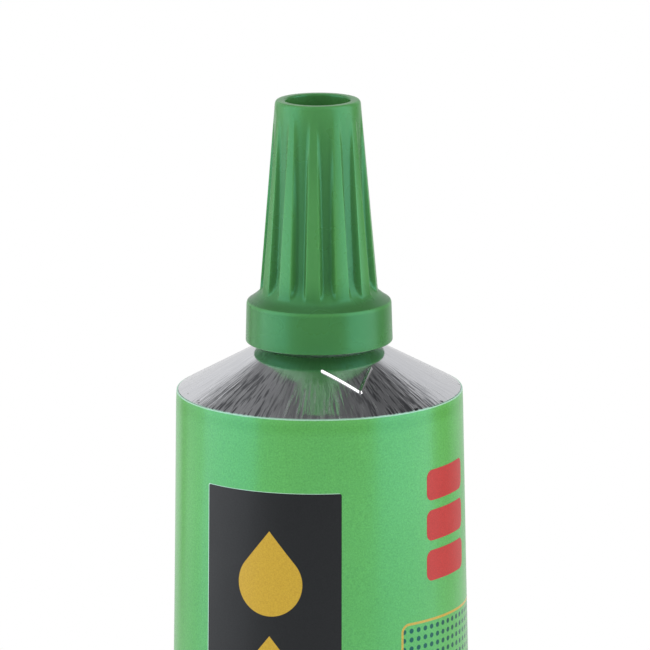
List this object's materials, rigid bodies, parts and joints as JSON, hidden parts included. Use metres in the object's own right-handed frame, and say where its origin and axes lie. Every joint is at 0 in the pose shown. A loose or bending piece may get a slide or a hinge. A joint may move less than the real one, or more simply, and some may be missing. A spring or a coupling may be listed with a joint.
{
  "type": "tube of gel glue",
  "caption": "Collapsible aluminium tube of gel adhesive with a folded end, a conical shoulder, a threaded neck with a long nozzle and a fluted screw cap with a piercing spike.",
  "frame": {"origin": "middle of the bottom edge of the folded end", "axes": "+Z along the tube towards the cap, X along the broad side of the fold, -Y out of the printed front"},
  "size_m": [0.0344, 0.022, 0.1244],
  "materials": {
    "bare_aluminium": "bright turned metal with radial streaks",
    "green_enamel": "satin lacquer with plain print",
    "membrane_foil": "thin foil",
    "clear_gel": "clear viscous gel",
    "cream_sealant": "matte sealing compound",
    "green_plastic": "smooth moulded plastic",
    "liner_foam": "closed-cell foam"
  },
  "bodies": {
    "tube": {"aluminium_tube": "bare_aluminium", "enamel_coat": "green_enamel", "nozzle_membrane": "membrane_foil", "gel_fill": "clear_gel", "end_sealant": "cream_sealant"},
    "liner": {"cap_liner": "liner_foam"},
    "cap": {"screw_cap": "green_plastic"}
  },
  "joints": [
    {"name": "cap_rise", "type": "slide", "parent": "tube", "child": "liner", "axis": [0, 0, 1], "range_m": [0, 0.003]},
    {"name": "cap_turn", "type": "hinge", "parent": "liner", "child": "cap", "pos_m": [0, 0, 0.10574], "axis": [0, 0, 1], "range_deg": [0, 1080]}
  ],
  "couplings": [
    {"joint": "cap_turn", "follows": "cap_rise", "rad_per_m": 6283.2}
  ]
}
